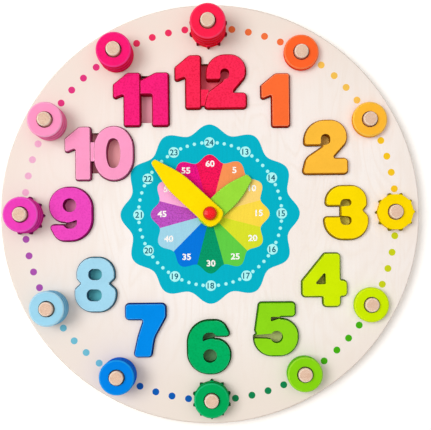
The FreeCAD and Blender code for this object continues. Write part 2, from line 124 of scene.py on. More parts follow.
# The dots that follow each hour, clockwise
DOT_COLOURS = {
    12: "F37741", 1: "F8C757", 2: "F9CA21", 3: "CCD51A", 4: "46B20F", 5: "108651",
    6: "0B5EBA", 7: "71C0D7", 8: "AC53B1", 9: "F0B4D5", 10: "E13884", 11: "EC3465",
}
PETAL_COLOURS = {
    12: "FE145D", 1: "F99558", 2: "FFDA79", 3: "FEDF48", 4: "DCE62C", 5: "62D247",
    6: "009E6D", 7: "0078E5", 8: "A2D9F0", 9: "C456CD", 10: "FFB6E7", 11: "F4108C",
}
# The pocket floors' colour by hour, which is painted shade and colour bounce from the numerals' walls
POCKET_SHADE_COLOURS = {
    1: "F0501E", 2: "FFCE28", 3: "FFF014", 4: "DBD500", 5: "D4E078", 6: "2E9746",
    7: "00469E", 8: "21CFDC", 9: "FA77BE", 10: "FFAAB2", 11: "FFA6C0", 12: "FF2A5C",
}
ROSETTE_INK = "00B6CF"
PALE_INK = "AEFDFF"
TEAL_DIGIT_INK = "0B647C"
WHITE_INK = "FFFFFF"
MINUTE_HAND_YELLOW = "FFE200"
HOUR_HAND_GREEN = "9AE03D"
CAP_RED = "FF0818"
CAP_FOOT_SHADE_AND_REFLECTION = "CE3806"
VENEER_PALE = "F8F3F1"
VENEER_WARM = "F3EAE4"
VENEER_FIGURE = "EADBCE"
VENEER_GRAIN = "E6D3C3"
VENEER_FLECK = "DCC6B2"
PAINTED_RIM_SHADE = "EEE3DA"
PLY_LIGHT = "E6CFAE"
PLY_DARK = "C29F75"
SCORCH_AND_GAP_SHADE = "9A6A45"
DOWEL_PALE = "E8CAB4"
DOWEL_RING = "DDB79C"
DOWEL_PORE = "CA9F83"
DOWEL_CHAMFER_HIGHLIGHT = "F0D9C6"
NYLON_WHITE = "EEEDE6"
ZINC = "C9CBCE"
FLOOR_WHITE = "FFFFFF"
FILL_WARM = "FFF8F1"

# How strongly the coat is speckled: the darker and redder pigments cover the wood unevenly
EVEN_COAT = 0.08
PAINT_SPECKLE = {6: 0.3, 9: 0.3, 11: 0.45, 12: 0.5}
PETAL_SPECKLE = {6: 0.5, 9: 0.8, 11: 0.9, 12: 0.9}

# How much deeper the rings' paint is than the numerals', and how much deeper the sawn sides are painted than
# the flats, as painted shade
RING_COATS = 1.1
SIDE_SHADE_COATS = 1.7
# Specks of thick pigment, and the painted shade on the tips of teeth: how much darker, and by how many coats
SPECK = (-0.12, 1.4)
TOOTH_TIP_SHADE = (-0.4, 1.3)

# How much the painted shade and colour bounce on the pocket floors covers the wood
POCKET_SHADE_COVER = 0.85

# How much the matt coats shine, where 0.5 is a bare smooth surface
PAINT_GLOSS = 0.03
LACQUER_GLOSS = 0.12

# How level a face is, from 0 upright to 1 level. Below the side values paint counts as on the sawn side,
# which on the numerals takes in the chamfer, and is darkened there as painted shade; between them and LEVEL
# it is paler as a painted highlight on the eased edge. Wood counts as edge below the first of its two values
# and as face above the second.
NUMERAL_SIDE = 0.74
NUMERAL_SIDE_SHADE_TONE = -0.2
NUMERAL_EDGE_HIGHLIGHT_TONE = 0.3
TURNED_SIDE = 0.55
LEVEL = 0.975
WOOD_EDGE, WOOD_FACE = 0.25, 0.6

# ---- camera and light ----

# The frame of the render, and where the middle of the dial and the point under the lens lie in it
FRAME_WIDTH_PX = 431
FRAME_HEIGHT_PX = 430
MM_PER_PX = 0.7194
DIAL_CENTRE_PX = (210.16, 214.09)
UNDER_LENS_PX = (226.0, 262.0)
LENS_HEIGHT = 600.0
DIAL_ROLL = 0.57
SENSOR_WIDTH = 36.0

# Two softboxes: name, direction from the dial, distance, side and watts
SOFTBOXES = (
    ("key_softbox", (-0.6, 0.12, 1.0), 2400.0, 1200.0, 29.0),
    ("overhead_softbox", (0.1, 0.1, 1.0), 2200.0, 1800.0, 7.0),
)
FILL_STRENGTH = 0.62
FLOOR_SIZE = 6000.0
# Light that the paper seems to give off towards the lens, so that it is seen white
FLOOR_LIFT = 0.14


# ---- shader nodes ----

def linear(hex_colour, tone=0.0, coats=1.0):
    """sRGB hex to the linear RGBA that shaders take, first moved by a share of the way to white, or to
    black where the share is negative. More coats make it deeper as a thicker layer of paint does."""
    end = 1.0 if tone > 0 else 0.0
    channels = [int(hex_colour[i:i + 2], 16) / 255 for i in (0, 2, 4)]
    channels = [c + (end - c) * abs(tone) for c in channels]
    channels = [c / 12.92 if c <= 0.04045 else ((c + 0.055) / 1.055) ** 2.4 for c in channels]
    return [c ** coats for c in channels] + [1.0]


def add_node(tree, kind, settings=None, links=None):
    """Adds a node. Settings are its own attributes or its inputs' values, links its inputs' sources."""
    node = tree.nodes.new(kind)
    for key, value in (settings or {}).items():
        if isinstance(key, str) and hasattr(node, key):
            setattr(node, key, value)
        else:
            node.inputs[key].default_value = value
    for key, source in (links or {}).items():
        tree.links.new(source, node.inputs[key])
    return node


def new_material(name):
    """A material with an empty node tree, and its tree."""
    made = bpy.data.materials.new(name)
    made.use_nodes = True
    made.node_tree.nodes.clear()
    return made, made.node_tree


# The colour sockets of Blender's Mix node, by number because its sockets share their names
MIX_FACTOR, MIX_A, MIX_B, MIX_RESULT = 0, 6, 7, 2


# ---- materials ----

def shaded_tooth_tips(tree, coat, colour):
    """A toothed ring's coat, darker on the tips of the teeth, which is painted shade."""
    # The box coordinates run from 0 to 1 across the teeth's tips, so half a side is the tip radius
    across = add_node(tree, "ShaderNodeTexCoord").outputs["Generated"]
    flattened = add_node(tree, "ShaderNodeVectorMath", {"operation": "MULTIPLY", 1: [2.0, 2.0, 0.0]},
                         {0: across}).outputs["Vector"]
    from_axis = add_node(tree, "ShaderNodeVectorMath", {"operation": "DISTANCE", 1: [1.0, 1.0, 0.0]},
                         {0: flattened}).outputs["Value"]
    tips = add_node(tree, "ShaderNodeMapRange",
                    {"From Min": TOOTH_START, "From Max": TOOTH_START + TOOTH_BLEND},
                    {"Value": from_axis}).outputs["Result"]
    return add_node(tree, "ShaderNodeMix", {"data_type": "RGBA", MIX_B: linear(colour, *TOOTH_TIP_SHADE)},
                    {MIX_FACTOR: tips, MIX_A: coat}).outputs[MIX_RESULT]


def sprayed_paint(name, colour, speckle=EVEN_COAT, side_below=TURNED_SIDE, side_shade_tone=0.02,
                  edge_highlight_tone=0.12, coats=1.0, teeth=False):
    """Basswood under sprayed coats of matt water-based paint, with fine orange peel. The sawn sides are
    deeper in colour, which is painted shade, and so are the tips of teeth. On the sanded edges the coat is
    painted paler, which is a painted highlight."""
    made, tree = new_material(name)
    place = add_node(tree, "ShaderNodeTexCoord").outputs["Object"]
    clouds = add_node(tree, "ShaderNodeTexNoise", {"Scale": PER_MM / 9.0, "Detail": 3.0}, {"Vector": place})
    thin = add_node(tree, "ShaderNodeMapRange", {"From Min": 0.35, "From Max": 0.68},
                    {"Value": clouds.outputs["Fac"]}).outputs["Result"]
    even, cloudy = linear(colour, 0.0, coats), linear(colour, -0.02, coats)
    coat = add_node(tree, "ShaderNodeMix", {"data_type": "RGBA", MIX_A: even, MIX_B: cloudy},
                    {MIX_FACTOR: thin}).outputs[MIX_RESULT]
    # Specks of pigment are some 0.3 mm across, too fine to show, and are drawn about four times as coarse
    specks = add_node(tree, "ShaderNodeTexNoise", {"Scale": PER_MM / 1.3, "Detail": 2.0}, {"Vector": place})
    speckled = add_node(tree, "ShaderNodeMapRange", {"From Min": 0.46, "From Max": 0.68, "To Max": speckle},
                        {"Value": specks.outputs["Fac"]}).outputs["Result"]
    coat = add_node(tree, "ShaderNodeMix", {"data_type": "RGBA", MIX_B: linear(colour, *SPECK)},
                    {MIX_FACTOR: speckled, MIX_A: coat}).outputs[MIX_RESULT]

    facing = add_node(tree, "ShaderNodeNewGeometry").outputs["Normal"]
    level = add_node(tree, "ShaderNodeSeparateXYZ", links={"Vector": facing}).outputs["Z"]
    # Painted highlight: the eased edges between the sides and the flats are paler
    sanded = add_node(tree, "ShaderNodeMath",
                      {"operation": "COMPARE", 1: (side_below + LEVEL) / 2, 2: (LEVEL - side_below) / 2},
                      {0: level}).outputs[0]
    coat = add_node(tree, "ShaderNodeMix", {"data_type": "RGBA", MIX_B: linear(colour, edge_highlight_tone)},
                    {MIX_FACTOR: sanded, MIX_A: coat}).outputs[MIX_RESULT]
    # Painted shade: the sawn sides are deeper in colour than the flats
    side = add_node(tree, "ShaderNodeMath", {"operation": "LESS_THAN", 1: side_below}, {0: level}).outputs[0]
    side_shade = linear(colour, side_shade_tone, SIDE_SHADE_COATS)
    coat = add_node(tree, "ShaderNodeMix", {"data_type": "RGBA", MIX_B: side_shade},
                    {MIX_FACTOR: side, MIX_A: coat}).outputs[MIX_RESULT]
    if teeth:
        # Painted shade: the tips of the teeth are darker
        coat = shaded_tooth_tips(tree, coat, colour)

    peel = add_node(tree, "ShaderNodeTexNoise", {"Scale": PER_MM / 0.8, "Detail": 3.0}, {"Vector": place})
    bump = add_node(tree, "ShaderNodeBump", {"Distance": 0.012 * MM}, {"Height": peel.outputs["Fac"]})
    rough = add_node(tree, "ShaderNodeMapRange", {"To Min": 0.72, "To Max": 0.85}, {"Value": thin})
    shader = add_node(tree, "ShaderNodeBsdfPrincipled", {"IOR": 1.5, "Specular IOR Level": PAINT_GLOSS}, {
        "Base Color": coat, "Roughness": rough.outputs["Result"], "Normal": bump.outputs["Normal"],
    })
    add_node(tree, "ShaderNodeOutputMaterial", links={"Surface": shader.outputs["BSDF"]})
    return made


def painted_pocket_shade(tree, place):
    """Each hour's painted shade and colour bounce over its twelfth of the dial, as one ramp that runs round
    from half way between 11 and 12 o'clock."""
    spot = add_node(tree, "ShaderNodeSeparateXYZ", links={"Vector": place}).outputs
    angle = add_node(tree, "ShaderNodeMath", {"operation": "ARCTAN2"},
                     {0: spot["X"], 1: spot["Y"]}).outputs[0]
    turns = add_node(tree, "ShaderNodeMath", {"operation": "MULTIPLY_ADD", 1: 0.5 / math.pi, 2: 0.5 / 12},
                     {0: angle}).outputs[0]
    share = add_node(tree, "ShaderNodeMath", {"operation": "FLOORED_MODULO", 1: 1.0}, {0: turns}).outputs[0]
    ramp = add_node(tree, "ShaderNodeValToRGB", links={"Fac": share})
    stops = ramp.color_ramp
    stops.interpolation = "CONSTANT"
    for hour in HOURS:
        # A new ramp already has two stops, which become those of 12 and 11
        start = (hour % 12) / 12
        if hour in (11, 12):
            stop = stops.elements[0 if hour == 12 else -1]
        else:
            stop = stops.elements.new(start)
        stop.position = start
        stop.color = linear(POCKET_SHADE_COLOURS[hour])
    return ramp.outputs["Color"]


def face_veneer(tree, place):
    """The colour of the plain-sliced face, with a broad soft figure along the 6 to 12 o'clock line, and the
    fine streaks that its gloss and relief follow too."""
    # The figure is the contour lines of a noise drawn out along the grain
    drawn_out = add_node(tree, "ShaderNodeMapping",
                         {"Scale": [PER_MM / 30.0, PER_MM / 110.0, PER_MM / 30.0]}, {"Vector": place})
    figure = add_node(tree, "ShaderNodeTexNoise", {"Scale": 1.0, "Detail": 2.0, "Distortion": 0.8},
                      {"Vector": drawn_out.outputs["Vector"]}).outputs["Fac"]
    contours = add_node(tree, "ShaderNodeMath", {"operation": "PINGPONG", 1: 0.05}, {0: figure}).outputs[0]
    late_wood = add_node(tree, "ShaderNodeMapRange",
                         {"interpolation_type": "SMOOTHSTEP", "From Min": 0.02, "From Max": 0.05,
                          "To Max": 0.24},
                         {"Value": contours}).outputs["Result"]
    veneer = add_node(tree, "ShaderNodeMix",
                      {"data_type": "RGBA", MIX_A: linear(VENEER_PALE), MIX_B: linear(VENEER_FIGURE)},
                      {MIX_FACTOR: late_wood}).outputs[MIX_RESULT]
    clouds = add_node(tree, "ShaderNodeTexNoise", {"Scale": PER_MM / 45.0, "Detail": 2.0}, {"Vector": place})
    warm = add_node(tree, "ShaderNodeMapRange", {"From Min": 0.35, "From Max": 0.65, "To Max": 0.6},
                    {"Value": clouds.outputs["Fac"]}).outputs["Result"]
    veneer = add_node(tree, "ShaderNodeMix", {"data_type": "RGBA", MIX_B: linear(VENEER_WARM)},
                      {MIX_FACTOR: warm, MIX_A: veneer}).outputs[MIX_RESULT]
    # Fibres are some 0.3 mm wide, too fine to show, and are drawn about five times as coarse
    fibres = add_node(tree, "ShaderNodeMapping", {"Scale": [PER_MM / 1.6, PER_MM / 45.0, PER_MM / 8.0]},
                      {"Vector": place})
    streaks = add_node(tree, "ShaderNodeTexNoise", {"Scale": 1.0, "Detail": 4.0, "Roughness": 0.6},
                       {"Vector": fibres.outputs["Vector"]}).outputs["Fac"]
    grain = add_node(tree, "ShaderNodeMapRange", {"From Min": 0.42, "From Max": 0.75, "To Max": 0.12},
                     {"Value": streaks}).outputs["Result"]
    veneer = add_node(tree, "ShaderNodeMix", {"data_type": "RGBA", MIX_B: linear(VENEER_GRAIN)},
                      {MIX_FACTOR: grain, MIX_A: veneer}).outputs[MIX_RESULT]
    short = add_node(tree, "ShaderNodeMapping", {"Scale": [PER_MM / 0.5, PER_MM / 3.2, PER_MM / 1.0]},
                     {"Vector": place})
    flecks = add_node(tree, "ShaderNodeTexNoise", {"Scale": 1.0, "Detail": 2.0},
                      {"Vector": short.outputs["Vector"]}).outputs["Fac"]
    flecked = add_node(tree, "ShaderNodeMapRange", {"From Min": 0.62, "From Max": 0.8, "To Max": 0.25},
                       {"Value": flecks}).outputs["Result"]
    veneer = add_node(tree, "ShaderNodeMix", {"data_type": "RGBA", MIX_B: linear(VENEER_FLECK)},
                      {MIX_FACTOR: flecked, MIX_A: veneer}).outputs[MIX_RESULT]
    # Painted light: the face is palest round a spot right of the middle and darker toward the rim
    squeezed = add_node(tree, "ShaderNodeVectorMath", {"operation": "MULTIPLY", 1: [PALE_ACROSS, 1.0, 0.0]},
                        {0: place}).outputs["Vector"]
    off_middle = add_node(tree, "ShaderNodeVectorMath",
                          {"operation": "DISTANCE", 1: [PALE_ACROSS * PAINTED_LIGHT_SPOT * MM, 0.0, 0.0]},
                          {0: squeezed}).outputs["Value"]
    painted_falloff = add_node(tree, "ShaderNodeMapRange",
                          {"From Min": PALE_FADE_START * MM, "From Max": PALE_FADE_END * MM},
                          {"Value": off_middle}).outputs["Result"]
    veneer = add_node(tree, "ShaderNodeMix", {"data_type": "RGBA", MIX_B: linear(PAINTED_RIM_SHADE)},
                      {MIX_FACTOR: painted_falloff, MIX_A: veneer}).outputs[MIX_RESULT]
    return veneer, streaks


def cut_edges(tree, place):
    """The colour of the turned rim, which shows its cross-banded plies, and inside it of the pocket walls,
    which are brown both from the laser's scorch and as painted shade in the gaps round the numerals."""
    height = add_node(tree, "ShaderNodeSeparateXYZ", links={"Vector": place}).outputs["Z"]
    plies = add_node(tree, "ShaderNodeMath", {"operation": "PINGPONG", 1: PLY_THICKNESS * MM},
                     {0: height}).outputs[0]
    cross_bands = add_node(tree, "ShaderNodeMapRange",
                           {"From Min": 0.42 * PLY_THICKNESS * MM, "From Max": 0.58 * PLY_THICKNESS * MM,
                            "To Max": 0.8},
                           {"Value": plies}).outputs["Result"]
    rim = add_node(tree, "ShaderNodeMix",
                   {"data_type": "RGBA", MIX_A: linear(PLY_LIGHT), MIX_B: linear(PLY_DARK)},
                   {MIX_FACTOR: cross_bands}).outputs[MIX_RESULT]
    end_fibres = add_node(tree, "ShaderNodeMapping", {"Scale": [PER_MM / 2.5, PER_MM / 2.5, PER_MM / 0.25]},
                          {"Vector": place})
    end_grain = add_node(tree, "ShaderNodeTexNoise", {"Scale": 1.0, "Detail": 3.0},
                         {"Vector": end_fibres.outputs["Vector"]}).outputs["Fac"]
    end_marks = add_node(tree, "ShaderNodeMapRange", {"From Min": 0.4, "From Max": 0.8, "To Max": 0.6},
                         {"Value": end_grain}).outputs["Result"]
    rim = add_node(tree, "ShaderNodeMix", {"data_type": "RGBA", MIX_B: linear(PLY_DARK)},
                   {MIX_FACTOR: end_marks, MIX_A: rim}).outputs[MIX_RESULT]
    # Pocket walls: brown as laser scorch and as painted shade in the narrow gaps round the numerals
    out = add_node(tree, "ShaderNodeVectorMath", {"operation": "LENGTH"}, {0: place}).outputs["Value"]
    inside = add_node(tree, "ShaderNodeMath", {"operation": "LESS_THAN", 1: (BOARD_RADIUS - RIM_BAND) * MM},
                      {0: out}).outputs[0]
    return add_node(tree, "ShaderNodeMix", {"data_type": "RGBA", MIX_B: linear(SCORCH_AND_GAP_SHADE)},
                    {MIX_FACTOR: inside, MIX_A: rim}).outputs[MIX_RESULT]


def lacquered_plywood(name, pocket_shaded=False):
    """Basswood plywood under clear matt lacquer: a pale sliced face, a turned rim and laser-cut pockets. The
    pocket-shaded panel is the floor of the pockets, tinted with each numeral's colour as painted shade and
    colour bounce from the numerals' walls."""
    made, tree = new_material(name)
    place = add_node(tree, "ShaderNodeTexCoord").outputs["Object"]
    veneer, streaks = face_veneer(tree, place)
    facing = add_node(tree, "ShaderNodeNewGeometry").outputs["Normal"]
    level = add_node(tree, "ShaderNodeSeparateXYZ", links={"Vector": facing}).outputs["Z"]
    # Painted shade and colour bounce: the pocket floors take the colour of the numeral beside them
    if pocket_shaded:
        upward = add_node(tree, "ShaderNodeMapRange",
                          {"From Min": WOOD_EDGE, "From Max": WOOD_FACE, "To Max": POCKET_SHADE_COVER},
                          {"Value": level}).outputs["Result"]
        pocket_shade = painted_pocket_shade(tree, place)
        veneer = add_node(tree, "ShaderNodeMix", {"data_type": "RGBA"},
                          {MIX_FACTOR: upward, MIX_A: veneer, MIX_B: pocket_shade}).outputs[MIX_RESULT]
    flat = add_node(tree, "ShaderNodeMath", {"operation": "ABSOLUTE"}, {0: level}).outputs[0]
    face = add_node(tree, "ShaderNodeMapRange", {"From Min": WOOD_EDGE, "From Max": WOOD_FACE},
                    {"Value": flat}).outputs["Result"]
    wood = add_node(tree, "ShaderNodeMix", {"data_type": "RGBA"},
                    {MIX_FACTOR: face, MIX_A: cut_edges(tree, place), MIX_B: veneer}).outputs[MIX_RESULT]
    rough = add_node(tree, "ShaderNodeMapRange", {"To Min": 0.5, "To Max": 0.64}, {"Value": streaks})
    bump = add_node(tree, "ShaderNodeBump", {"Strength": 0.6, "Distance": 0.02 * MM}, {"Height": streaks})
    shader = add_node(tree, "ShaderNodeBsdfPrincipled", {"IOR": 1.5, "Specular IOR Level": LACQUER_GLOSS}, {
        "Base Color": wood, "Roughness": rough.outputs["Result"], "Normal": bump.outputs["Normal"],
    })
    add_node(tree, "ShaderNodeOutputMaterial", links={"Surface": shader.outputs["BSDF"]})
    return made


def turned_dowel(name):
    """Birch dowel, cut off and sanded bare: pores and faint growth rings on the end, straight grain down the
    side, and a pale chamfer that is a painted highlight."""
    made, tree = new_material(name)
    place = add_node(tree, "ShaderNodeTexCoord").outputs["Object"]
    wide = add_node(tree, "ShaderNodeMapping", {"Scale": [PER_MM / 6.0, PER_MM / 1.6, PER_MM / 40.0]},
                    {"Vector": place})
    growth = add_node(tree, "ShaderNodeTexNoise", {"Scale": 1.0, "Detail": 2.0},
                      {"Vector": wide.outputs["Vector"]}).outputs["Fac"]
    rings = add_node(tree, "ShaderNodeMapRange", {"From Min": 0.35, "From Max": 0.7, "To Max": 0.7},
                     {"Value": growth}).outputs["Result"]
    wood = add_node(tree, "ShaderNodeMix",
                    {"data_type": "RGBA", MIX_A: linear(DOWEL_PALE), MIX_B: linear(DOWEL_RING)},
                    {MIX_FACTOR: rings}).outputs[MIX_RESULT]
    # Birch pores are some 0.1 mm wide, too fine to show, and are drawn about six times as coarse
    narrow = add_node(tree, "ShaderNodeMapping", {"Scale": [PER_MM / 0.6, PER_MM / 0.6, PER_MM / 9.0]},
                      {"Vector": place})
    vessels = add_node(tree, "ShaderNodeTexNoise", {"Scale": 1.0, "Detail": 3.0, "Roughness": 0.6},
                       {"Vector": narrow.outputs["Vector"]}).outputs["Fac"]
    pores = add_node(tree, "ShaderNodeMapRange", {"From Min": 0.42, "From Max": 0.7, "To Max": 0.75},
                     {"Value": vessels}).outputs["Result"]
    wood = add_node(tree, "ShaderNodeMix", {"data_type": "RGBA", MIX_B: linear(DOWEL_PORE)},
                    {MIX_FACTOR: pores, MIX_A: wood}).outputs[MIX_RESULT]
    facing = add_node(tree, "ShaderNodeNewGeometry").outputs["Normal"]
    level = add_node(tree, "ShaderNodeSeparateXYZ", links={"Vector": facing}).outputs["Z"]
    # The chamfer is what lies between 0.39 and 0.97 level, and its paler colour is a painted highlight
    chamfer = add_node(tree, "ShaderNodeMath", {"operation": "COMPARE", 1: 0.68, 2: 0.29},
                       {0: level}).outputs[0]
    wood = add_node(tree, "ShaderNodeMix", {"data_type": "RGBA", MIX_B: linear(DOWEL_CHAMFER_HIGHLIGHT)},
                    {MIX_FACTOR: chamfer, MIX_A: wood}).outputs[MIX_RESULT]
    bump = add_node(tree, "ShaderNodeBump", {"Distance": 0.03 * MM}, {"Height": pores})
    shader = add_node(tree, "ShaderNodeBsdfPrincipled", {"IOR": 1.5, "Roughness": 0.62},
                      {"Base Color": wood, "Normal": bump.outputs["Normal"]})
    add_node(tree, "ShaderNodeOutputMaterial", links={"Surface": shader.outputs["BSDF"]})
    return made


def printed_ink(name, colour, speckle=EVEN_COAT):
    """Screen-printed ink on lacquered veneer: a thin satin film that shows the wood's grain a little, and
    that the screen left speckled where the pigment is strong."""
    made, tree = new_material(name)
    place = add_node(tree, "ShaderNodeTexCoord").outputs["Object"]
    # The wood's fibres and the screen's specks are under 0.4 mm wide, and are drawn coarser so that they show
    fibres = add_node(tree, "ShaderNodeMapping", {"Scale": [PER_MM / 1.2, PER_MM / 14.0, PER_MM / 8.0]},
                      {"Vector": place})
    streaks = add_node(tree, "ShaderNodeTexNoise", {"Scale": 1.0, "Detail": 3.0, "Roughness": 0.6},
                       {"Vector": fibres.outputs["Vector"]}).outputs["Fac"]
    grain = add_node(tree, "ShaderNodeMapRange", {"From Min": 0.36, "From Max": 0.7, "To Max": 0.4},
                     {"Value": streaks}).outputs["Result"]
    ink = add_node(tree, "ShaderNodeMix",
                   {"data_type": "RGBA", MIX_A: linear(colour), MIX_B: linear(colour, -0.07)},
                   {MIX_FACTOR: grain}).outputs[MIX_RESULT]
    specks = add_node(tree, "ShaderNodeTexNoise", {"Scale": PER_MM / 1.1, "Detail": 2.0}, {"Vector": place})
    speckled = add_node(tree, "ShaderNodeMapRange", {"From Min": 0.45, "From Max": 0.65, "To Max": speckle},
                        {"Value": specks.outputs["Fac"]}).outputs["Result"]
    ink = add_node(tree, "ShaderNodeMix", {"data_type": "RGBA", MIX_B: linear(colour, -0.22)},
                   {MIX_FACTOR: speckled, MIX_A: ink}).outputs[MIX_RESULT]
    bump = add_node(tree, "ShaderNodeBump", {"Strength": 0.6, "Distance": 0.01 * MM}, {"Height": grain})
    shader = add_node(tree, "ShaderNodeBsdfPrincipled",
                      {"IOR": 1.48, "Roughness": 0.5, "Specular IOR Level": PAINT_GLOSS},
                      {"Base Color": ink, "Normal": bump.outputs["Normal"]})
    add_node(tree, "ShaderNodeOutputMaterial", links={"Surface": shader.outputs["BSDF"]})
    return made


def moulded_abs(name, colour, foot_shade_colour):
    """Injection-moulded glossy ABS: a clean colour with a very slight waviness from cooling. Round the steep
    foot of the dome the colour is warmer and deeper, as painted shade and a painted reflection of the yellow
    hand."""
    made, tree = new_material(name)
    place = add_node(tree, "ShaderNodeTexCoord").outputs["Object"]
    waves = add_node(tree, "ShaderNodeTexNoise", {"Scale": PER_MM / 3.5, "Detail": 1.0},
                     {"Vector": place}).outputs["Fac"]
    plastic = add_node(tree, "ShaderNodeMix",
                       {"data_type": "RGBA", MIX_A: linear(colour), MIX_B: linear(colour, -0.06)},
                       {MIX_FACTOR: waves}).outputs[MIX_RESULT]
    facing = add_node(tree, "ShaderNodeNewGeometry").outputs["Normal"]
    level = add_node(tree, "ShaderNodeSeparateXYZ", links={"Vector": facing}).outputs["Z"]
    # Painted shade and reflection of the yellow hand round the foot of the dome
    foot = add_node(tree, "ShaderNodeMapRange", {"From Min": 0.95, "From Max": 0.93}, {"Value": level})
    plastic = add_node(tree, "ShaderNodeMix", {"data_type": "RGBA", MIX_B: linear(foot_shade_colour)},
                       {MIX_FACTOR: foot.outputs["Result"], MIX_A: plastic}).outputs[MIX_RESULT]
    bump = add_node(tree, "ShaderNodeBump", {"Distance": 0.004 * MM}, {"Height": waves})
    shader = add_node(tree, "ShaderNodeBsdfPrincipled",
                      {"IOR": 1.54, "Roughness": 0.2, "Specular IOR Level": 0.15},
                      {"Base Color": plastic, "Normal": bump.outputs["Normal"]})
    add_node(tree, "ShaderNodeOutputMaterial", links={"Surface": shader.outputs["BSDF"]})
    return made


def moulded_nylon(name):
    """Moulded natural nylon: off-white and waxy, with faint flow marks."""
    made, tree = new_material(name)
    place = add_node(tree, "ShaderNodeTexCoord").outputs["Object"]
    flow = add_node(tree, "ShaderNodeTexNoise", {"Scale": PER_MM / 2.0, "Detail": 2.0, "Distortion": 1.0},
                    {"Vector": place}).outputs["Fac"]
    plastic = add_node(tree, "ShaderNodeMix",
                       {"data_type": "RGBA", MIX_A: linear(NYLON_WHITE), MIX_B: linear(NYLON_WHITE, -0.05)},
                       {MIX_FACTOR: flow}).outputs[MIX_RESULT]
    bump = add_node(tree, "ShaderNodeBump", {"Distance": 0.01 * MM}, {"Height": flow})
    shader = add_node(tree, "ShaderNodeBsdfPrincipled",
                      {"IOR": 1.53, "Roughness": 0.42, "Subsurface Weight": 0.1,
                       "Subsurface Radius": [0.8 * MM] * 3},
                      {"Base Color": plastic, "Normal": bump.outputs["Normal"]})
    add_node(tree, "ShaderNodeOutputMaterial", links={"Surface": shader.outputs["BSDF"]})
    return made


def zinc_plated_steel(name):
    """Turned steel with bright zinc plating: fine tool marks round it, slightly dulled."""
    made, tree = new_material(name)
    place = add_node(tree, "ShaderNodeTexCoord").outputs["Object"]
    rounds = add_node(tree, "ShaderNodeMapping", {"Scale": [PER_MM / 1.2, PER_MM / 1.2, PER_MM / 0.15]},
                      {"Vector": place})
    marks = add_node(tree, "ShaderNodeTexNoise", {"Scale": 1.0, "Detail": 3.0},
                     {"Vector": rounds.outputs["Vector"]}).outputs["Fac"]
    metal = add_node(tree, "ShaderNodeMix",
                     {"data_type": "RGBA", MIX_A: linear(ZINC), MIX_B: linear(ZINC, -0.12)},
                     {MIX_FACTOR: marks}).outputs[MIX_RESULT]
    rough = add_node(tree, "ShaderNodeMapRange",
                     {"From Min": 0.3, "From Max": 0.7, "To Min": 0.24, "To Max": 0.38}, {"Value": marks})
    bump = add_node(tree, "ShaderNodeBump", {"Distance": 0.006 * MM}, {"Height": marks})
    shader = add_node(tree, "ShaderNodeBsdfPrincipled", {"Metallic": 1.0}, {
        "Base Color": metal, "Roughness": rough.outputs["Result"], "Normal": bump.outputs["Normal"],
    })
    add_node(tree, "ShaderNodeOutputMaterial", links={"Surface": shader.outputs["BSDF"]})
    return made


def seen_by_lens(tree):
    """1 for what the lens sees, also in a shiny surface or through a clear one, and 0 for other light."""
    path = add_node(tree, "ShaderNodeLightPath").outputs
    mirrored = add_node(tree, "ShaderNodeMath", {"operation": "MAXIMUM"},
                        {0: path["Is Camera Ray"], 1: path["Is Glossy Ray"]}).outputs[0]
    return add_node(tree, "ShaderNodeMath", {"operation": "MAXIMUM"},
                    {0: mirrored, 1: path["Is Transmission Ray"]}).outputs[0]


def studio_paper(name):
    """Seamless white paper under the clock, seen at full white where no shadow falls and farther out."""
    made, tree = new_material(name)
    place = add_node(tree, "ShaderNodeTexCoord").outputs["Object"]
    fibres = add_node(tree, "ShaderNodeTexNoise", {"Scale": PER_MM / 1.5, "Detail": 2.0}, {"Vector": place})
    paper = add_node(tree, "ShaderNodeMix",
                     {"data_type": "RGBA", MIX_A: linear(FLOOR_WHITE), MIX_B: linear(FLOOR_WHITE, -0.02)},
                     {MIX_FACTOR: fibres.outputs["Fac"]}).outputs[MIX_RESULT]
    out = add_node(tree, "ShaderNodeVectorMath", {"operation": "LENGTH"}, {0: place}).outputs["Value"]
    clear_of_shadow = add_node(tree, "ShaderNodeMapRange",
                               {"From Min": 2 * BOARD_RADIUS * MM, "From Max": 6 * BOARD_RADIUS * MM,
                                "To Min": FLOOR_LIFT, "To Max": 1.0}, {"Value": out}).outputs["Result"]
    lift = add_node(tree, "ShaderNodeMath", {"operation": "MULTIPLY"},
                    {0: seen_by_lens(tree), 1: clear_of_shadow}).outputs[0]
    shader = add_node(tree, "ShaderNodeBsdfPrincipled",
                      {"Roughness": 0.9, "Specular IOR Level": 0.2, "Emission Color": linear(FLOOR_WHITE)},
                      {"Base Color": paper, "Emission Strength": lift})
    add_node(tree, "ShaderNodeOutputMaterial", links={"Surface": shader.outputs["BSDF"]})
    return made


# ---- shaped and printed pieces ----

def on_dial(radius, degrees_clockwise):
    """The point (x, y) at this radius and this many degrees clockwise from 12 o'clock."""
    angle = math.radians(degrees_clockwise)
    return radius * math.sin(angle), radius * math.cos(angle)


def wave_point(radius, wave, degrees_clockwise):
    """A point of a wavy outline with a lobe at each hour."""
    lift = wave * math.cos(math.radians(12 * degrees_clockwise))
    return on_dial(radius + lift, degrees_clockwise)


def dot_outline(radius, centre):
    """A round dot about a point (x, y)."""
    around = [on_dial(radius, 360.0 * i / DOT_CORNERS) for i in range(DOT_CORNERS)]
    return [(centre[0] + x, centre[1] + y) for x, y in around]


def petal_outline(hour):
    """One petal, from the washer out to the flower's edge."""
    start, end = DEGREES_PER_HOUR * (hour - 0.5), DEGREES_PER_HOUR * (hour + 0.5)
    degrees = [start + (end - start) * i / STEPS_PER_HOUR for i in range(STEPS_PER_HOUR + 1)]
    outer = [wave_point(FLOWER_RADIUS, FLOWER_WAVE, d) for d in degrees]
    inner = [on_dial(PRINT_START, d) for d in reversed(degrees)]
    return outer + inner


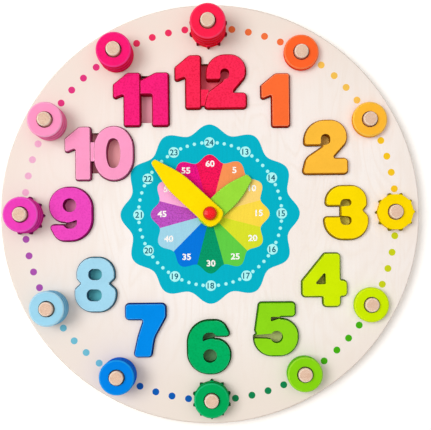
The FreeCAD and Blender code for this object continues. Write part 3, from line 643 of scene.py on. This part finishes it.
def added_prism(bm, outline, base, top):
    """A closed prism over an outline of (x, y) corners that runs clockwise."""
    low = [bm.verts.new((x * MM, y * MM, base * MM)) for x, y in outline]
    high = [bm.verts.new((x * MM, y * MM, top * MM)) for x, y in outline]
    bm.faces.new(low)
    bm.faces.new(reversed(high))
    for i, corner in enumerate(low):
        bm.faces.new((low[i - 1], high[i - 1], high[i], corner))


def film_heights(layer):
    """The bottom and top of a film of ink, counted from the lowest."""
    base = BOARD_TOP + (layer - 1) * INK_FILM
    return base, base + INK_FILM


def board_piece(name, bm, finish):
    """Turns a bmesh into a printed piece that lies on the board and moves with it."""
    bmesh.ops.recalc_face_normals(bm, faces=bm.faces)
    mesh = bpy.data.meshes.new(name)
    bm.to_mesh(mesh)
    bm.free()
    mesh.materials.append(finish)
    piece = bpy.data.objects.new(name, mesh)
    bpy.context.scene.collection.objects.link(piece)
    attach(piece, "board")
    return piece


def printed_outlines(name, outlines, layer, finish):
    """One printed piece from several outlines."""
    bm = bmesh.new()
    for outline in outlines:
        added_prism(bm, outline, *film_heights(layer))
    return board_piece(name, bm, finish)


def printed_rosette(finish):
    """The wavy band from the washer out, as one ring of four-sided faces."""
    base, top = film_heights(GROUND_LAYER)
    bm = bmesh.new()
    rows = []
    count = 12 * STEPS_PER_HOUR
    for radius, wave in ((PRINT_START, 0.0), (ROSETTE_RADIUS, ROSETTE_WAVE)):
        for height in (base, top):
            points = [wave_point(radius, wave, 360.0 * i / count) for i in range(count)]
            rows.append([bm.verts.new((x * MM, y * MM, height * MM)) for x, y in points])
    inner_low, inner_high, outer_low, outer_high = rows
    for one, other in ((inner_high, outer_high), (outer_low, inner_low), (outer_high, outer_low),
                       (inner_low, inner_high)):
        for i in range(count):
            bm.faces.new((one[i - 1], other[i - 1], other[i], one[i]))
    return board_piece("rosette", bm, finish)


def added_number(bm, text, centre, layer, height, stroke, stretch):
    """Upright digits, with their box centred on a point of the dial. A bevel thickens their stroke and
    leaves the eye of the 4 open."""
    letters = bpy.data.curves.new("digits", "FONT")
    letters.body = text
    letters.extrude = 0.5 - stroke
    letters.bevel_depth = stroke
    letters.bevel_resolution = 0
    letters.resolution_u = 6
    holder = bpy.data.objects.new("digits", letters)
    bpy.context.scene.collection.objects.link(holder)
    bpy.context.view_layer.update()
    mesh = bpy.data.meshes.new_from_object(holder.evaluated_get(bpy.context.evaluated_depsgraph_get()))
    corners = [vertex.co for vertex in mesh.vertices]
    low = Vector((min(c.x for c in corners), min(c.y for c in corners), 0))
    high = Vector((max(c.x for c in corners), max(c.y for c in corners), 0))
    scale = height / (high.y - low.y)
    base, top = film_heights(layer)
    middle = Vector((centre[0], centre[1], (base + top) / 2)) * MM
    mesh.transform(Matrix.Translation(middle)
                   @ Matrix.Diagonal((scale * stretch * MM, scale * MM, (top - base) * MM, 1.0))
                   @ Matrix.Translation(-(low + high) / 2))
    bm.from_mesh(mesh)
    bpy.data.objects.remove(holder)
    bpy.data.meshes.remove(mesh)
    bpy.data.curves.remove(letters)


def printed_numbers(name, numbers, finish, radii, shift, height, stroke, stretch):
    """Numbers by hour, upright on one circle."""
    bm = bmesh.new()
    for hour, text in numbers.items():
        x, y = on_dial(1.0, DEGREES_PER_HOUR * hour)
        spot = (x * radii[0] + shift[0], y * radii[1] + shift[1])
        added_number(bm, text, spot, DIGIT_LAYER, height, stroke, stretch)
    bmesh.ops.remove_doubles(bm, verts=bm.verts, dist=WELD_GAP * MM)
    return board_piece(name, bm, finish)


def dots_between_hours(radius, circle, hour, angles):
    """Dots on a circle, at these angles clockwise from an hour."""
    return [dot_outline(radius, on_dial(circle, DEGREES_PER_HOUR * hour + angle)) for angle in angles]


def print_dial():
    """Rosette and outer dots first, then petals and discs, then the numbers."""
    printed_rosette(printed_ink("rosette_ink", ROSETTE_INK))
    discs, small_dots = [], []
    for hour in HOURS:
        speckle = PETAL_SPECKLE.get(hour, EVEN_COAT)
        printed_outlines(f"petal_{hour:02d}", [petal_outline(hour)], SHAPE_LAYER,
                         printed_ink(f"petal_ink_{hour:02d}", PETAL_COLOURS[hour], speckle))
        minute_dots = dots_between_hours(MINUTE_DOT_RADIUS, MINUTE_DOT_CIRCLE, hour, MINUTE_DOT_ANGLES)
        printed_outlines(f"minute_dots_{hour:02d}", minute_dots, GROUND_LAYER,
                         printed_ink(f"minute_dot_ink_{hour:02d}", DOT_COLOURS[hour]))
        discs.append(dot_outline(AFTERNOON_DISC, on_dial(AFTERNOON_RADIUS, DEGREES_PER_HOUR * hour)))
        small_dots += dots_between_hours(SMALL_DOT_RADIUS, AFTERNOON_RADIUS, hour, SMALL_DOT_ANGLES)
    pale_ink = printed_ink("pale_ink", PALE_INK)
    printed_outlines("afternoon_discs", discs, SHAPE_LAYER, pale_ink)
    printed_outlines("hour_dots", small_dots, SHAPE_LAYER, pale_ink)
    printed_numbers("afternoon_numbers", {hour: str(hour + 12) for hour in HOURS},
                    printed_ink("teal_ink", TEAL_DIGIT_INK), **AFTERNOON_NUMBERS)
    printed_numbers("minute_numbers", {hour: str(5 * hour) for hour in HOURS},
                    printed_ink("white_ink", WHITE_INK), **MINUTE_NUMBERS)


# ---- the CAD pieces' edges and finishes ----

def smooth_shading():
    """A modifier group that shades every face smooth, so that the eased edges blend into the flats."""
    group = bpy.data.node_groups.new("smooth_shading", "GeometryNodeTree")
    group.interface.new_socket("Geometry", in_out="INPUT", socket_type="NodeSocketGeometry")
    group.interface.new_socket("Geometry", in_out="OUTPUT", socket_type="NodeSocketGeometry")
    given = add_node(group, "NodeGroupInput")
    shaded = add_node(group, "GeometryNodeSetShadeSmooth", links={"Geometry": given.outputs[0]})
    add_node(group, "NodeGroupOutput", links={0: shaded.outputs[0]})
    return group


def ease_edges(node, smooth):
    """Rounds a piece's edges as sanding and paint leave them, within the solid."""
    weld = node.modifiers.new("weld", "WELD")
    weld.merge_threshold = WELD_GAP * MM
    flats = node.modifiers.new("flats", "DECIMATE")
    flats.decimate_type = "DISSOLVE"
    flats.angle_limit = math.radians(FLAT_ANGLE)
    node.modifiers.new("smooth", "NODES").node_group = smooth
    ease = node.modifiers.new("ease", "BEVEL")
    ease.limit_method = "ANGLE"
    ease.angle_limit = math.radians(EDGE_ANGLE)
    ease.width = EDGE_EASE * MM
    ease.segments = EASE_STEPS
    even = node.modifiers.new("even", "WEIGHTED_NORMAL")
    even.weight = 100


def finish_nodes():
    """Gives each CAD node its material by the kind of piece. The edges of the board, the washers and the
    steel stay as they were cut, and the others are eased."""
    plywood = lacquered_plywood("lacquered_plywood")
    pocket_shaded_plywood = lacquered_plywood("pocket_shaded_plywood", pocket_shaded=True)
    dowel = turned_dowel("turned_dowel")
    nylon = moulded_nylon("moulded_nylon")
    steel = zinc_plated_steel("zinc_plated_steel")
    finishes = {
        "board_front": plywood, "board_back": pocket_shaded_plywood, "board_washer": nylon, "hand_washer": nylon,
        "pivot_post": steel, "pivot_screw": steel,
        "pivot_cap": moulded_abs("moulded_abs", CAP_RED, CAP_FOOT_SHADE_AND_REFLECTION),
        "minute_hand": sprayed_paint("minute_hand_paint", MINUTE_HAND_YELLOW),
        "hour_hand": sprayed_paint("hour_hand_paint", HOUR_HAND_GREEN),
    }
    numeral_paints, ring_paints = {}, {}
    for hour in HOURS:
        colour, speckle = PAINT_COLOURS[hour], PAINT_SPECKLE.get(hour, EVEN_COAT)
        numeral_paints[hour] = sprayed_paint(f"numeral_paint_{hour:02d}", colour, speckle, NUMERAL_SIDE,
                                             NUMERAL_SIDE_SHADE_TONE, NUMERAL_EDGE_HIGHLIGHT_TONE)
        ring_paints[hour] = sprayed_paint(f"ring_paint_{hour:02d}", colour, speckle / 2, coats=RING_COATS)
    smooth = smooth_shading()
    for name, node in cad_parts.items():
        finish = finishes.get(name)
        hour = int(name.split("_")[2]) if "_ring_" in name else None
        if name.startswith("peg_"):
            finish = dowel
        elif name.startswith("numeral_"):
            finish = numeral_paints[int(name.split("_")[-1])]
        elif name.startswith("toothed_ring_"):
            finish = sprayed_paint(f"toothed_ring_paint_{hour:02d}", PAINT_COLOURS[hour], coats=RING_COATS,
                                   teeth=True)
        elif name.startswith("counting_ring_"):
            finish = ring_paints[hour]
        node.material_slots[0].material = finish
        if finish not in (plywood, pocket_shaded_plywood, nylon, steel):
            ease_edges(node, smooth)


# ---- stage ----

def pale_floor():
    """A wide sheet of white paper that the clock lies on."""
    bm = bmesh.new()
    half = FLOOR_SIZE / 2 * MM
    bm.faces.new([bm.verts.new(corner) for corner in ((-half, -half, 0), (half, -half, 0),
                                                      (half, half, 0), (-half, half, 0))])
    mesh = bpy.data.meshes.new("floor")
    bm.to_mesh(mesh)
    bm.free()
    mesh.materials.append(studio_paper("studio_paper"))
    floor = bpy.data.objects.new("floor", mesh)
    bpy.context.scene.collection.objects.link(floor)


def softbox(name, direction, distance, side, watts):
    """A square softbox that faces the dial from this direction."""
    lamp = bpy.data.lights.new(name, "AREA")
    lamp.shape = "SQUARE"
    lamp.size = side * MM
    lamp.energy = watts
    made = bpy.data.objects.new(name, lamp)
    bpy.context.scene.collection.objects.link(made)
    toward_lamp = Vector(direction).normalized()
    made.location = toward_lamp * distance * MM
    made.rotation_euler = toward_lamp.to_track_quat("Z", "Y").to_euler()


def pale_surround():
    """A white surround, seen at full white. It lights the clock more weakly, and not from near the floor."""
    surround = bpy.data.worlds.new("surround")
    surround.use_nodes = True
    tree = surround.node_tree
    tree.nodes.clear()
    sky = add_node(tree, "ShaderNodeTexCoord").outputs["Generated"]
    height = add_node(tree, "ShaderNodeSeparateXYZ", links={"Vector": sky}).outputs["Z"]
    fill = add_node(tree, "ShaderNodeMapRange", {"From Min": 0.1, "From Max": 0.7, "To Max": FILL_STRENGTH},
                    {"Value": height}).outputs["Result"]
    seen = seen_by_lens(tree)
    strength = add_node(tree, "ShaderNodeMath", {"operation": "MAXIMUM"}, {0: fill, 1: seen}).outputs[0]
    shown = add_node(tree, "ShaderNodeMix",
                     {"data_type": "RGBA", MIX_A: linear(FILL_WARM), MIX_B: linear(FLOOR_WHITE)},
                     {MIX_FACTOR: seen}).outputs[MIX_RESULT]
    light = add_node(tree, "ShaderNodeBackground", links={"Color": shown, "Strength": strength})
    add_node(tree, "ShaderNodeOutputWorld", links={"Surface": light.outputs[0]})
    bpy.context.scene.world = surround


def overhead_camera():
    """Straight down on the board, rolled a little, with the lens not quite over the middle of the dial."""
    roll = math.radians(DIAL_ROLL)
    right = Vector((math.cos(roll), -math.sin(roll), 0))
    up = Vector((math.sin(roll), math.cos(roll), 0))
    across = (UNDER_LENS_PX[0] - DIAL_CENTRE_PX[0]) * MM_PER_PX
    down = (UNDER_LENS_PX[1] - DIAL_CENTRE_PX[1]) * MM_PER_PX
    spot = right * across - up * down + Vector((0, 0, BOARD_TOP + LENS_HEIGHT))
    lens = bpy.data.cameras.new("camera")
    lens.sensor_width = SENSOR_WIDTH
    lens.lens = SENSOR_WIDTH * LENS_HEIGHT / (FRAME_WIDTH_PX * MM_PER_PX)
    lens.shift_x = (FRAME_WIDTH_PX / 2 - UNDER_LENS_PX[0]) / FRAME_WIDTH_PX
    lens.shift_y = (UNDER_LENS_PX[1] - FRAME_HEIGHT_PX / 2) / FRAME_WIDTH_PX
    camera = bpy.data.objects.new("camera", lens)
    bpy.context.scene.collection.objects.link(camera)
    camera.location = spot * MM
    camera.rotation_euler = (0, 0, -roll)
    bpy.context.scene.camera = camera


finish_nodes()
print_dial()
pale_floor()
for settings in SOFTBOXES:
    softbox(*settings)
pale_surround()
overhead_camera()
bpy.context.scene.view_settings.view_transform = "Standard"
